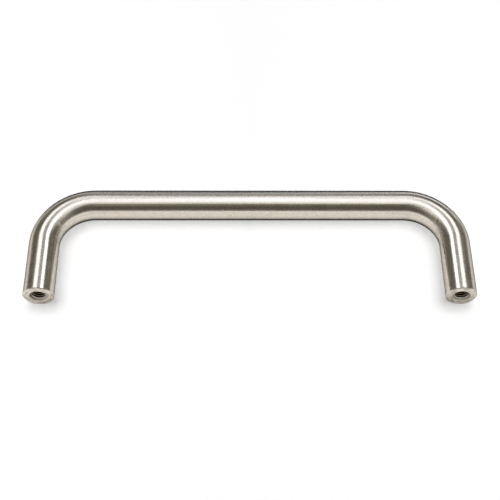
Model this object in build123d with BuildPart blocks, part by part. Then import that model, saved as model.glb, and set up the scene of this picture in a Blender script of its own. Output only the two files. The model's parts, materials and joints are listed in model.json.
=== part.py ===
"""Bridge pull handle: one round rod, bent twice, with a tapped hole in each end.

Units are millimetres.  X runs along the grip, the legs run from the grip to the
mounting plane at Y = 0, and Z is square to the plane that the rod is bent in.
The origin lies on the mounting plane, halfway between the two tapped holes.
"""
import os
from math import radians, tan

from build123d import *

# Driving dimensions
rod_diameter = 9.5
hole_spacing = 128.0            # between the centres of the two legs
projection = 38.5               # mounting plane to the far side of the grip
inner_bend_radius = 10.5        # of the former that the rod is bent round
end_edge_break = 0.2            # chamfer round each faced end

tap_drill_diameter = 4.2        # for an M5 x 0.8 thread
tap_drill_depth = 14.5          # full diameter, ahead of the drill's point
drill_point_angle = 118.0
countersink_diameter = 5.6
countersink_angle = 90.0

# Sizes that follow from them
leg_x = hole_spacing / 2
grip_y = projection - rod_diameter / 2
bend_radius = inner_bend_radius + rod_diameter / 2
drill_point_depth = tap_drill_diameter / 2 / tan(radians(drill_point_angle / 2))

with BuildPart() as handle:
    # The rod follows one line: up the left leg, along the grip, down the right leg
    with BuildLine() as centreline:
        FilletPolyline(
            (-leg_x, 0),
            (-leg_x, grip_y),
            (leg_x, grip_y),
            (leg_x, 0),
            radius=bend_radius,
        )
    with BuildSketch(Plane(origin=centreline.line @ 0, z_dir=centreline.line % 0)):
        Circle(rod_diameter / 2)
    sweep()

    # Both ends are faced flat, and their edges are broken
    end_faces = handle.faces().filter_by(GeomType.PLANE)
    chamfer(end_faces.edges(), end_edge_break)

    # Blind tap-drilled holes, countersunk, with the cone that a drill leaves
    end_faces = handle.faces().filter_by(GeomType.PLANE)
    with Locations(end_faces):
        CounterSinkHole(
            radius=tap_drill_diameter / 2,
            counter_sink_radius=countersink_diameter / 2,
            depth=tap_drill_depth,
            counter_sink_angle=countersink_angle,
        )
        with Locations((0, 0, -tap_drill_depth)):
            Cone(
                bottom_radius=0,
                top_radius=tap_drill_diameter / 2,
                height=drill_point_depth,
                align=(Align.CENTER, Align.CENTER, Align.MAX),
                mode=Mode.SUBTRACT,
            )

handle.part.label = "handle"

os.makedirs("parts", exist_ok=True)
export_step(handle.part, "parts/handle.step")
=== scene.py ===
import json
from collections import namedtuple
from math import cos, pi, radians, sin, tan

import bmesh
import bpy
from mathutils import Matrix, Vector


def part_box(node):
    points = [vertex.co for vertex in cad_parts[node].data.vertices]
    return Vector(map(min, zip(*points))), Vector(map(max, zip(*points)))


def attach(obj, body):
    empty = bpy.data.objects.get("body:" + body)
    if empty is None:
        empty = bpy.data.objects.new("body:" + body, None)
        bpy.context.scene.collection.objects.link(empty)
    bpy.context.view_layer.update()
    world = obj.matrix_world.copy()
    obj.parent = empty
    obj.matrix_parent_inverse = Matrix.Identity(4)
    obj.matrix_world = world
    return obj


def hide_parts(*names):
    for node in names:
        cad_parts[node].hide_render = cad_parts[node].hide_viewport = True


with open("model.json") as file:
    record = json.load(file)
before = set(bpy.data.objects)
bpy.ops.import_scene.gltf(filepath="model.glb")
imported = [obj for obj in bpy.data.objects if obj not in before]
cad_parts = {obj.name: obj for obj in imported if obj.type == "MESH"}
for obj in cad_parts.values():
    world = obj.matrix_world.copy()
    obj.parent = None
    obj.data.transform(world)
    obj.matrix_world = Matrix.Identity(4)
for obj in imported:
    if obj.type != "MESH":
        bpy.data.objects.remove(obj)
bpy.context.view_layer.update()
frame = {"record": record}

mm = 0.001

# ---------------------------------------------------------------- sizes, from the frame

mounts = {mount["name"]: mount for mount in frame["record"]["mounts"]}
screw_hole = mounts["right_screw_hole"]
low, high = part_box("handle")

leg_x = screw_hole["pos_m"][0]
rod_radius = (high.z - low.z) / 2
grip_y = high.y - rod_radius
bend_radius = 10.5 * mm + rod_radius        # of the centreline; the former's own radius is 10.5 mm
edge_break = 0.2 * mm
face_radius = rod_radius - edge_break

bore_radius = screw_hole["dims"]["r_mm"] * mm
wall_start = screw_hole["pos_m"][1]         # the plain wall starts under the countersink
bore_depth = wall_start + screw_hole["dims"]["length_mm"] * mm
countersink_radius = bore_radius + wall_start       # cut at 45 degrees to the hole's axis
drill_point = bore_radius / tan(radians(59))        # a drill's point has 118 degrees

# M5 x 0.8 thread, cut outwards from the tap drill's wall
thread_pitch = 0.8 * mm
thread_depth = 0.4 * mm
tapped_length = 12 * mm
crest_share = 0.27          # of a pitch, flat along the tap drill's wall
flank_share = 0.29          # of a pitch, for each 60-degree flank
first_crest = 0.78          # of a pitch, from the face to the first crest on the table's side
run_in = 2                  # turns of the helix that lie before the face, where nothing is left to cut

# The rod's run: up the left leg, round the bend, along the grip and down again
leg_length = grip_y - bend_radius
bend_length = bend_radius * pi / 2
grip_length = 2 * (leg_x - bend_radius)
rod_length = 2 * (leg_length + bend_length) + grip_length

segments = 96               # round the rod
leg_rows, bend_rows, grip_rows, face_rows = 12, 48, 60, 6       # along it, and across a faced end
table_z = low.z             # the handle lies flat on the table
sheet_gap = 0.05 * mm       # from the table up to what lies on it


# ---------------------------------------------------------------- small helpers

def colour(hex_code):
    """An sRGB hex colour as the linear values that Blender's sockets take."""
    values = [int(hex_code[i:i + 2], 16) / 255 for i in (1, 3, 5)]
    return [v / 12.92 if v <= 0.04045 else ((v + 0.055) / 1.055) ** 2.4 for v in values] + [1]


def add(tree, kind, settings=None, **links):
    """Adds a node. Links name its sockets, or number them as _0, and give a value or another socket."""
    node = tree.nodes.new(kind)
    for name, value in (settings or {}).items():
        setattr(node, name, value)
    for name, value in links.items():
        socket = node.inputs[int(name[1:]) if name[0] == "_" else name.replace("_", " ")]
        if isinstance(value, bpy.types.NodeSocket):
            tree.links.new(value, socket)
        else:
            socket.default_value = value
    return node


def new_material(name):
    material = bpy.data.materials.new(name)
    material.use_nodes = True
    material.node_tree.nodes.clear()
    return material, material.node_tree


def new_object(name, data):
    piece = bpy.data.objects.new(name, data)
    bpy.context.scene.collection.objects.link(piece)
    return piece


def steps(start, end, count):
    """Evenly spaced values from start up to, but not including, end."""
    return [start + (end - start) * i / count for i in range(count)]


# ---------------------------------------------------------------- the bent rod

# Points round the rod or its hole, how far each lies along the profile from the faced end, and how deep
# the thread is cut there, as a share of its full depth
Row = namedtuple("Row", "points along cut")
SKIN, FACE, BORE = range(3)     # the handle's three finishes, in the order of its material slots


def centreline(distance):
    """Place on the rod's centreline, and the direction square to it that points out of the U."""
    from_end = min(distance, rod_length - distance)
    side = -1 if distance <= rod_length / 2 else 1
    if from_end < leg_length:
        return Vector((side * leg_x, from_end, 0)), Vector((side, 0, 0))
    if from_end < leg_length + bend_length:
        turn = (from_end - leg_length) / bend_radius
        outward = Vector((side * cos(turn), sin(turn), 0))
        return Vector((side * (leg_x - bend_radius), leg_length, 0)) + outward * bend_radius, outward
    return Vector((distance - rod_length / 2, grip_y, 0)), Vector((0, 1, 0))


def round_angle(k):
    """Angle of point k, from the outward direction. The seam, k = 0, lies on the table's side."""
    return 2 * pi * k / segments - pi / 2


def row_at(distance):
    """A row round the rod itself."""
    centre, outward = centreline(distance)
    points = []
    for k in range(segments + 1):
        spoke = outward * cos(round_angle(k)) + Vector((0, 0, 1)) * sin(round_angle(k))
        points.append(centre + spoke * rod_radius)
    return Row(points, [distance] * len(points), [0] * len(points))


def row_in_end(side, depth_and_radius):
    """A row in a faced end or its hole; depth_and_radius gives both at point k."""
    points, along, cut = [], [], []
    for k in range(segments + 1):
        depth, radius = depth_and_radius(k)
        spoke = Vector((side * cos(round_angle(k)), 0, sin(round_angle(k))))
        points.append(Vector((side * leg_x, depth, 0)) + spoke * radius)
        inwards = rod_radius - radius + depth
        along.append(-inwards if side < 0 else rod_length + inwards)
        plain_wall = max(bore_radius, countersink_radius - depth)
        cut.append(max(radius - plain_wall, 0) / thread_depth)
    return Row(points, along, cut)


def thread_corner(side, number):
    """A corner of the thread's profile: two lie on each turn's crest and two in its groove.

    The corners climb one pitch in a turn, the way a right-hand screw goes in. They stop at the face
    and at the end of the tapped length, and the countersink cuts them back.
    """
    turn, corner = divmod(number, 4)
    share = (0, crest_share, crest_share + flank_share, 1 - flank_share)[corner]

    def depth_and_radius(k):
        climb = k / segments if side < 0 else 1 - k / segments
        depth = min(max((turn + share + climb + first_crest - run_in) * thread_pitch, 0), tapped_length)
        groove = thread_depth if corner > 1 and depth < tapped_length - thread_pitch else 0
        return depth, max(bore_radius + groove, countersink_radius - depth)

    return depth_and_radius


def end_rows(side):
    """Rows from the drill's point out to the rod's edge, each with the finish of the band after it."""
    corners = 4 * (round(tapped_length / thread_pitch) + run_in + 1)
    rows = [(row_in_end(side, lambda k: (bore_depth + drill_point, 0)), BORE)]
    rows += [(row_in_end(side, lambda k: (bore_depth, bore_radius)), BORE)]
    rows += [(row_in_end(side, thread_corner(side, number)), BORE)
             for number in reversed(range(corners))]
    rows += [(row_in_end(side, lambda k, radius=radius: (0, radius)), FACE)
             for radius in steps(countersink_radius, face_radius, face_rows)]
    rows += [(row_in_end(side, lambda k: (0, face_radius)), SKIN)]
    return rows


def build_handle():
    """One closed mesh: left hole, left face, skin, right face, right hole."""
    left, right = end_rows(-1), end_rows(1)
    bend_end = leg_length + bend_length
    half = steps(edge_break, leg_length, leg_rows) + steps(leg_length, bend_end, bend_rows)
    distances = half + steps(bend_end, rod_length - bend_end, grip_rows)
    distances += [rod_length - bend_end] + [rod_length - d for d in reversed(half)][1:]
    rows = [row for row, finish in left] + [row_at(d) for d in distances]
    rows += [row for row, finish in reversed(right)]
    finishes = [finish for row, finish in left] + [SKIN] * (len(distances) - 1)
    finishes += [finish for row, finish in reversed(right)]

    shape = bmesh.new()
    brushing = shape.verts.layers.float_vector.new("brushing")
    groove = shape.verts.layers.float.new("groove")
    unrolled = shape.loops.layers.uv.new("unrolled")
    grid = []
    for row in rows:
        grid.append([])
        for k, (point, along, cut) in enumerate(zip(row.points, row.along, row.cut)):
            vert = shape.verts.new(point)
            vert[groove] = cut
            vert[brushing] = (along, rod_radius * cos(round_angle(k)), rod_radius * sin(round_angle(k)))
            grid[-1].append(vert)
    for i, finish in enumerate(finishes):
        for k in range(segments):
            corners = ((i, k), (i, k + 1), (i + 1, k + 1), (i + 1, k))
            face = shape.faces.new([grid[r][c] for r, c in corners])
            face.material_index = finish
            face.smooth = True
            for loop, (r, c) in zip(face.loops, corners):
                loop[unrolled].uv = (rows[r].along[c] / rod_length, c / segments)
    bmesh.ops.remove_doubles(shape, verts=shape.verts, dist=0.001 * mm)
    mesh = bpy.data.meshes.new("bent_rod")
    shape.to_mesh(mesh)
    shape.free()
    mesh.set_sharp_from_angle(angle=radians(25))
    return new_object("bent_rod", mesh)


# ---------------------------------------------------------------- the handle's finishes

def tool_marks(tree, spacing, length):
    """Fine marks that a belt, file or lathe tool leaves, running round the rod, as a value about 0.5."""
    place = add(tree, "ShaderNodeAttribute", {"attribute_name": "brushing"})
    stretched = add(tree, "ShaderNodeVectorMath", {"operation": "MULTIPLY"}, _0=place.outputs["Vector"],
                    _1=(1 / spacing, 1 / length, 1 / length))
    return add(tree, "ShaderNodeTexNoise", Vector=stretched.outputs[0], Scale=1, Detail=2).outputs["Fac"]


def spot(tree, distance, angle, width, length):
    """A mark on the skin, as 1 at its middle and 0 outside. Its width runs along the rod and its length
    round it."""
    place = add(tree, "ShaderNodeAttribute", {"attribute_name": "brushing"})
    middle = (distance, rod_radius * cos(angle), rod_radius * sin(angle))
    offset = add(tree, "ShaderNodeVectorMath", {"operation": "SUBTRACT"}, _0=place.outputs["Vector"],
                 _1=middle)
    shares = add(tree, "ShaderNodeVectorMath", {"operation": "MULTIPLY"}, _0=offset.outputs[0],
                 _1=(2 / width, 2 / length, 2 / length))
    far = add(tree, "ShaderNodeVectorMath", {"operation": "LENGTH"}, _0=shares.outputs[0])
    return add(tree, "ShaderNodeMapRange", {"interpolation_type": "SMOOTHSTEP"},
               Value=far.outputs["Value"], From_Min=1, From_Max=0).outputs[0]


def brushed_stainless_steel():
    """Satin skin, belt-brushed round the rod: short fine ticks run round it and each highlight smears
    along it, with ragged edges. A warm grey metal that goes dark where it turns away."""
    material, tree = new_material("brushed_stainless_steel")
    # Belt ticks are some 0.05 mm apart, too fine to show, so they are drawn 0.35 mm apart
    ticks = tool_marks(tree, 0.35 * mm, 2.5 * mm)
    drift = tool_marks(tree, 3 * mm, 6 * mm)
    scuff = spot(tree, 25.9 * mm, radians(131), 2.2 * mm, 3.8 * mm)
    burr = spot(tree, rod_length - 28.2 * mm, radians(140), 1.6 * mm, 1.6 * mm)
    pit = spot(tree, rod_length - 27.8 * mm, radians(133), 1.0 * mm, 1.3 * mm)
    # The scuff is real wear and the burr a real raised mark. Both are drawn as pale, less metallic spots,
    # and that paleness is a painted sheen on the scuff and a painted glint on the burr.
    wear_and_painted_sheen = add(tree, "ShaderNodeMath", {"operation": "MAXIMUM"}, _0=scuff, _1=burr)
    tint = add(tree, "ShaderNodeMix", {"data_type": "RGBA"}, _0=ticks, _6=colour("#D0C8BB"),
               _7=colour("#D9D1C4"))
    roughness = add(tree, "ShaderNodeMapRange", Value=drift, From_Min=0.3, From_Max=0.7, To_Min=0.24,
                    To_Max=0.30)
    metal_share = add(tree, "ShaderNodeMath", {"operation": "SUBTRACT"}, _0=1.0, _1=wear_and_painted_sheen.outputs[0])
    paler = add(tree, "ShaderNodeMix", {"data_type": "RGBA"}, _0=wear_and_painted_sheen.outputs[0], _6=tint.outputs[2],
                _7=colour("#FFF6E6"))
    # The pit is sunk by the bump below, and its dark colour is painted shade in it.
    skin = add(tree, "ShaderNodeMix", {"data_type": "RGBA"}, _0=pit, _6=paler.outputs[2],
               _7=colour("#2E2B28"))
    brushed = add(tree, "ShaderNodeBump", Strength=1.0, Distance=0.0025 * mm, Height=ticks)
    pitted = add(tree, "ShaderNodeBump", {"invert": True}, Strength=1.0, Distance=0.1 * mm, Height=pit,
                 Normal=brushed.outputs[0])
    tangent = add(tree, "ShaderNodeTangent", {"direction_type": "UV_MAP", "uv_map": "unrolled"})
    shader = add(tree, "ShaderNodeBsdfPrincipled", Base_Color=skin.outputs[2], Metallic=metal_share.outputs[0],
                 Roughness=roughness.outputs[0], Anisotropic=0.915, Specular_Tint=colour("#787878"),
                 Normal=pitted.outputs[0], Tangent=tangent.outputs[0])
    add(tree, "ShaderNodeOutputMaterial", Surface=shader.outputs[0])
    return material


def turned_stainless_steel():
    """Ends faced on a lathe: pale and matt, with faint rings round the hole."""
    material, tree = new_material("turned_stainless_steel")
    # Rings are some 0.1 mm apart, too fine to show, so they are drawn 0.6 mm apart
    marks = tool_marks(tree, 0.6 * mm, 2.5 * mm)
    rings = add(tree, "ShaderNodeMapRange", Value=marks, From_Min=0.35, From_Max=0.65).outputs[0]
    tint = add(tree, "ShaderNodeMix", {"data_type": "RGBA"}, _0=rings, _6=colour("#BDB4A5"),
               _7=colour("#F0E8D9"))
    turned = add(tree, "ShaderNodeBump", Strength=1.0, Distance=0.008 * mm, Height=rings)
    tangent = add(tree, "ShaderNodeTangent", {"direction_type": "UV_MAP", "uv_map": "unrolled"})
    shader = add(tree, "ShaderNodeBsdfPrincipled", Base_Color=tint.outputs[2], Metallic=1.0,
                 Roughness=0.34, Anisotropic=0.6, Normal=turned.outputs[0], Tangent=tangent.outputs[0])
    add(tree, "ShaderNodeOutputMaterial", Surface=shader.outputs[0])
    return material


def tapped_stainless_steel():
    """The countersink and the thread: bright cut metal at the mouth, with painted shade and painted golden
    reflections that darken it further in, and painted shade near black in the grooves. It is drawn mostly
    matt."""
    material, tree = new_material("tapped_stainless_steel")
    place = add(tree, "ShaderNodeAttribute", {"attribute_name": "brushing"})
    along = add(tree, "ShaderNodeSeparateXYZ", Vector=place.outputs["Vector"])
    from_middle = add(tree, "ShaderNodeMath", {"operation": "SUBTRACT"}, _0=along.outputs["X"],
                      _1=rod_length / 2)
    either_end = add(tree, "ShaderNodeMath", {"operation": "ABSOLUTE"}, _0=from_middle.outputs[0])
    # Where the countersink ends and the thread's wall starts
    mouth = rod_length / 2 + rod_radius - bore_radius + wall_start
    # Painted shade and painted golden reflections: the metal goes from pale at the mouth to golden 2.5 mm
    # further in
    inward_shade_and_reflection = add(tree, "ShaderNodeMapRange", Value=either_end.outputs[0], From_Min=mouth,
                From_Max=mouth + 2.5 * mm)
    crests = add(tree, "ShaderNodeMix", {"data_type": "RGBA"}, _0=inward_shade_and_reflection.outputs[0], _6=colour("#FFF8E8"),
                 _7=colour("#DDB770"))
    # Painted shade: the grooves go near black, and less dark where the countersink cuts into them
    cut = add(tree, "ShaderNodeAttribute", {"attribute_name": "groove"})
    deeper = add(tree, "ShaderNodeMapRange", Value=either_end.outputs[0], From_Min=mouth - 0.6 * mm,
                 From_Max=mouth, To_Min=0.4, To_Max=1)
    dark = add(tree, "ShaderNodeMapRange", Value=cut.outputs["Fac"], From_Min=0.0, From_Max=0.4,
               To_Max=deeper.outputs[0])
    # A darker ring of painted shade runs round the countersink, near the middle of its slope
    ring = rod_length / 2 + rod_radius - countersink_radius + 0.9 * wall_start
    off_ring = add(tree, "ShaderNodeMath", {"operation": "SUBTRACT"}, _0=either_end.outputs[0], _1=ring)
    from_ring = add(tree, "ShaderNodeMath", {"operation": "ABSOLUTE"}, _0=off_ring.outputs[0])
    ring_shade = add(tree, "ShaderNodeMapRange", Value=from_ring.outputs[0], From_Min=0.1 * mm,
               From_Max=0.45 * mm, To_Min=0.65, To_Max=0)
    cone = add(tree, "ShaderNodeMix", {"data_type": "RGBA"}, _0=ring_shade.outputs[0], _6=crests.outputs[2],
               _7=colour("#7A705C"))
    tint = add(tree, "ShaderNodeMix", {"data_type": "RGBA"}, _0=dark.outputs[0], _6=cone.outputs[2],
               _7=colour("#171007"))
    shader = add(tree, "ShaderNodeBsdfPrincipled", Base_Color=tint.outputs[2], Metallic=0.2,
                 Roughness=0.45)
    add(tree, "ShaderNodeOutputMaterial", Surface=shader.outputs[0])
    return material


handle = build_handle()
for material in (brushed_stainless_steel(), turned_stainless_steel(), tapped_stainless_steel()):
    handle.data.materials.append(material)
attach(handle, "root")
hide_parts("handle")


# ---------------------------------------------------------------- table and studio

def seen_directly(tree):
    """1 where the camera, a mirror or clear glass shows the surface, and 0 where it only lights others."""
    path = add(tree, "ShaderNodeLightPath")
    seen = add(tree, "ShaderNodeMath", {"operation": "MAXIMUM"}, _0=path.outputs["Is Camera Ray"],
               _1=path.outputs["Is Glossy Ray"])
    return add(tree, "ShaderNodeMath", {"operation": "MAXIMUM"}, _0=seen.outputs[0],
               _1=path.outputs["Is Transmission Ray"]).outputs[0]


def white_paper():
    """The white table top. It keeps the handle's shadow, and is white again further off."""
    material, tree = new_material("white_paper")
    place = add(tree, "ShaderNodeNewGeometry")
    far = add(tree, "ShaderNodeVectorMath", {"operation": "LENGTH"}, _0=place.outputs["Position"])
    level = add(tree, "ShaderNodeMapRange", Value=far.outputs["Value"], From_Min=0.3, From_Max=1.2,
                To_Min=0.55, To_Max=1.0)
    glow = add(tree, "ShaderNodeMath", {"operation": "MULTIPLY"}, _0=seen_directly(tree),
               _1=level.outputs[0])
    paper = add(tree, "ShaderNodeBsdfDiffuse", Color=colour("#E6E6E6"))
    emission = add(tree, "ShaderNodeEmission", Color=colour("#FFFFFF"), Strength=glow.outputs[0])
    both = add(tree, "ShaderNodeAddShader", _0=paper.outputs[0], _1=emission.outputs[0])
    add(tree, "ShaderNodeOutputMaterial", Surface=both.outputs[0])
    return material


def charcoal_cloth(shade, tint):
    """Dark cloth on the studio's walls and flags, which the metal mirrors. On the flag behind the grip it
    is partly painted shade.
    """
    material, tree = new_material("charcoal_cloth")
    cloth = add(tree, "ShaderNodeEmission", Color=colour(tint), Strength=shade)
    add(tree, "ShaderNodeOutputMaterial", Surface=cloth.outputs[0])
    return material


def black_cloth():
    """A cloth that only stops light."""
    material, tree = new_material("black_cloth")
    cloth = add(tree, "ShaderNodeBsdfDiffuse", Color=colour("#000000"))
    add(tree, "ShaderNodeOutputMaterial", Surface=cloth.outputs[0])
    return material


def deep_shade():
    """The dark between the rod and the table, as deep as the ribbon's own value says."""
    material, tree = new_material("deep_shade")
    depth = add(tree, "ShaderNodeAttribute", {"attribute_name": "depth"})
    clear = add(tree, "ShaderNodeBsdfTransparent")
    dark = add(tree, "ShaderNodeBsdfDiffuse", Color=colour("#000000"))
    mix = add(tree, "ShaderNodeMixShader", _0=depth.outputs["Fac"], _1=clear.outputs[0],
              _2=dark.outputs[0])
    add(tree, "ShaderNodeOutputMaterial", Surface=mix.outputs[0])
    return material


def stage_mesh(name, verts, faces, material):
    mesh = bpy.data.meshes.new(name)
    mesh.from_pydata(verts, [], faces)
    mesh.materials.append(material)
    piece = new_object(name, mesh)
    return piece


def seen_by_metal_only(piece):
    piece.visible_camera = piece.visible_diffuse = False
    piece.visible_shadow = piece.visible_transmission = False


def level_sheet(name, x, y, z, material):
    """A flat sheet over the ranges x and y, at the height z."""
    corners = [(x[0], y[0], z), (x[1], y[0], z), (x[1], y[1], z), (x[0], y[1], z)]
    return stage_mesh(name, corners, [(0, 1, 2, 3)], material)


def shade_ribbon(name, stations, stops):
    """A dark ribbon on the table along the rod's run. Each station gives a distance and how dark it is
    there; each stop a place across, in rod radii from the rod's axis, and its share of that dark."""
    verts, depths, faces = [], [], []
    for distance, dark in stations:
        centre, outward = centreline(distance)
        for across, share in stops:
            point = centre + outward * across * rod_radius
            verts.append((point.x, point.y, table_z + sheet_gap))
            depths.append(dark * share)
    for i in range(len(stations) - 1):
        for k in range(len(stops) - 1):
            start, after = i * len(stops) + k, (i + 1) * len(stops) + k
            faces.append((start, after, after + 1, start + 1))
    ribbon = stage_mesh(name, verts, faces, deep_shade())
    ribbon.data.attributes.new("depth", "FLOAT", "POINT").data.foreach_set("value", depths)
    return ribbon


def shade_under_rod():
    """The dark along the rod's foot, which the metal's lower edges mirror."""
    # How far before an end, in mm, and how dark it is there
    fading = ((7, 0), (5, 0.12), (3.5, 0.32), (2, 0.48), (0.3, 0.55))
    distances = steps(0, rod_length, 160) + [rod_length]
    stations = [(-distance * mm, dark) for distance, dark in fading]
    stations += [(distance, 0.5 + 0.5 * centreline(distance)[1].y) for distance in distances]
    stations += [(rod_length + distance * mm, dark) for distance, dark in reversed(fading)]
    stops = ((-2.8, 0), (-1.6, 0.15), (-1.0, 0.93), (0.9, 0.9), (1.6, 0))
    seen_by_metal_only(shade_ribbon("shade_under_rod", stations, stops))


def shade_before_ends():
    """The soft shadow on the paper round each faced end, deepest where the two meet."""
    # How far before an end, in mm, with the rod's own foot below 0, and how dark it is there
    fading = ((-6, 0), (-2.5, 0.12), (-0.5, 0.27), (0.6, 0.27), (2.4, 0.15), (3.8, 0.07), (5.5, 0.025),
              (9, 0))
    stops = ((-2.0, 0), (-1.2, 0.35), (-0.7, 0.75), (-0.2, 1), (0.4, 0.9), (0.8, 0.45), (1.4, 0))
    left = [(-distance * mm, dark) for distance, dark in fading]
    right = [(rod_length + distance * mm, dark) for distance, dark in fading]
    for name, stations in (("shade_before_left_end", left), ("shade_before_right_end", right)):
        ribbon = shade_ribbon(name, stations, stops)
        ribbon.visible_diffuse = ribbon.visible_shadow = False


def panel(name, place, facing, width, length, radiance, tint="#FFFFFF", on_table=False):
    """A soft rectangular light: its middle, the way it faces, its size and how bright its face is.
    It shows only in what shines, or with on_table it lights only what is matt."""
    lamp = bpy.data.lights.new(name, "AREA")
    lamp.shape = "RECTANGLE"
    lamp.size, lamp.size_y = width, length
    lamp.energy = radiance * pi * width * length
    lamp.color = colour(tint)[:3]
    light = new_object(name, lamp)
    light.location = place
    light.rotation_mode = "QUATERNION"
    light.rotation_quaternion = Vector(facing).to_track_quat("-Z", "Y")
    light.visible_camera = False
    light.visible_diffuse = on_table
    light.visible_glossy = not on_table


reach = 4.0         # of the table, each way
rig = 0.75          # height of the lights over the handle
level_sheet("table", (-reach, reach), (-reach, reach), table_z, white_paper())
shade_under_rod()
shade_before_ends()

# A cloth hung over the middle of the handle, so that the light of each half stays on its own side
hang = 1.2          # of the cloth, each way
top_light_z = 1
cloth_z = (table_z - mm, top_light_z - 0.01)
corners = [(0, -hang, cloth_z[0]), (0, hang, cloth_z[0]), (0, hang, cloth_z[1]), (0, -hang, cloth_z[1])]
divider = stage_mesh("divider", corners, [(0, 1, 2, 3)], black_cloth())
divider.visible_camera = divider.visible_glossy = divider.visible_transmission = False

# Dark walls round the set, and a dark flag on the table behind the grip that only the metal sees: its dark
# is partly painted shade of the grip on the table
wall = 2.4
corners = [(x, y, z) for x in (-wall, wall) for y in (-wall, wall) for z in (-wall, wall)]
sides = [(0, 1, 3, 2), (4, 6, 7, 5), (0, 4, 5, 1), (2, 3, 7, 6), (1, 5, 7, 3), (0, 2, 6, 4)]
seen_by_metal_only(stage_mesh("walls", corners, sides, charcoal_cloth(0.115, "#FFF4E4")))
near, far = grip_y + 1.6 * rod_radius, 1.0
near_half, far_half = 0.075, 0.075 + 0.4 * (far - near)     # half the flag's width at each of its edges
corners = [(x, y, table_z + sheet_gap)
           for x, y in ((-near_half, near), (near_half, near), (far_half, far), (-far_half, far))]
seen_by_metal_only(stage_mesh("flag", corners, [(0, 1, 2, 3)], charcoal_cloth(0.22, "#EEF4FF")))

down, ahead, back_again = (0, 0, -1), (0, 1, 0), (0, -1, 0)
inner, outer = 0.22 * rig, 0.73 * rig       # edges of the two strips, from the middle
near_edge, split, far_edge = -0.16 * rig, 0.33 * rig, 1.05 * rig
panel("overhead_box", (0, (near_edge + split) / 2, rig), down, 2 * outer, split - near_edge, 1.72,
      "#EEF4FF")
for side, name in ((-1, "left_strip"), (1, "right_strip")):
    panel(name, (side * (inner + outer) / 2, (split + far_edge) / 2, rig), down, outer - inner,
          far_edge - split, 2.45, "#F0F5FF")
panel("gap_between_strips", (0, (split + far_edge) / 2, 1.02 * rig), down, 2 * inner, far_edge - split,
      0.05)
panel("top_light", (0, -0.02, top_light_z), down, 1.6, 0.96, 3.2, on_table=True)
panel("front_bounce", (0, -rig, 0.09 * rig), ahead, 3 * rig, 0.19 * rig, 1.0)
panel("front_glow", (0, -rig, 0.28 * rig), ahead, 3 * rig, 0.2 * rig, 0.14)
panel("glow_over_grip", (0, 0.078, 0.12), down, 0.05, 0.062, 1.2, "#F0F5FF")
panel("front_spill", (0, -0.33 * rig, 1.01 * rig), down, 0.3 * rig, 0.34 * rig, 0.15)
for side, name in ((-1, "left_box_edge"), (1, "right_box_edge")):
    panel(name, (side * 0.54 * rig, -0.27 * rig, 1.01 * rig), down, 0.92 * rig, 0.22 * rig, 1.35)
panel("left_spill", (-0.7 * rig, -0.55 * rig, 1.02 * rig), down, 0.9 * rig, 0.55 * rig, 0.35)
panel("right_spill", (1.15 * rig, -0.4 * rig, 1.02 * rig), down, 0.9 * rig, 0.6 * rig, 0.2)
panel("left_shoulder", (-0.9 * rig, 0.5 * rig, 1.02 * rig), down, 0.32 * rig, 0.5 * rig, 0.4)
panel("right_shoulder", (0.98 * rig, 0.2 * rig, 1.02 * rig), down, 0.5 * rig, 0.65 * rig, 0.4)
panel("back_wall", (0, rig, 0.6 * rig), back_again, 0.5 * rig, 0.9 * rig, 0.5, "#EEF5FF")
panel("left_window", (-0.46 * rig, rig, 0.12 * rig), back_again, 0.6 * rig, 0.24 * rig, 0.85, "#EEF5FF")
panel("right_window", (0.52 * rig, rig, 0.12 * rig), back_again, 0.72 * rig, 0.24 * rig, 1.7, "#EEF5FF")
for side, name in ((-1, "left_fill"), (1, "right_fill")):
    panel(name, (side * 1.5 * rig, -0.5 * rig, 0.85 * rig), (-side, 0, 0), 1.6 * rig, 1.4 * rig, 0.2)
    panel(name.replace("fill", "bounce"), (side * 1.4 * rig, -0.45 * rig, 0.07 * rig), (-side, 0, 0),
          1.9 * rig, 0.14 * rig, 0.9)

world = bpy.data.worlds.new("studio")
bpy.context.scene.world = world
world.use_nodes = True
world.node_tree.nodes.clear()
strength = add(world.node_tree, "ShaderNodeMapRange", Value=seen_directly(world.node_tree), To_Min=0.13,
               To_Max=1.0)
background = add(world.node_tree, "ShaderNodeBackground", Color=colour("#FFFFFF"),
                 Strength=strength.outputs[0])
add(world.node_tree, "ShaderNodeOutputWorld", Surface=background.outputs[0])


# ---------------------------------------------------------------- camera

lens = bpy.data.cameras.new("camera")
lens.lens = 78.01
lens.sensor_width = 36
camera = new_object("camera", lens)
aim = Vector((0, 16.72 * mm, 0))
stand_off = 336.8           # mm, from the lens to the aim
elevation, azimuth, roll = radians(56.647), radians(-1.259), radians(1.068)
backwards = Vector((sin(azimuth) * cos(elevation), -cos(azimuth) * cos(elevation), sin(elevation)))
camera.location = aim + backwards * stand_off * mm
camera.rotation_mode = "QUATERNION"
level = (-backwards).to_track_quat("-Z", "Y")
camera.rotation_quaternion = level @ Matrix.Rotation(roll, 3, "Z").to_quaternion()
bpy.context.scene.camera = camera
bpy.context.scene.view_settings.view_transform = "Standard"
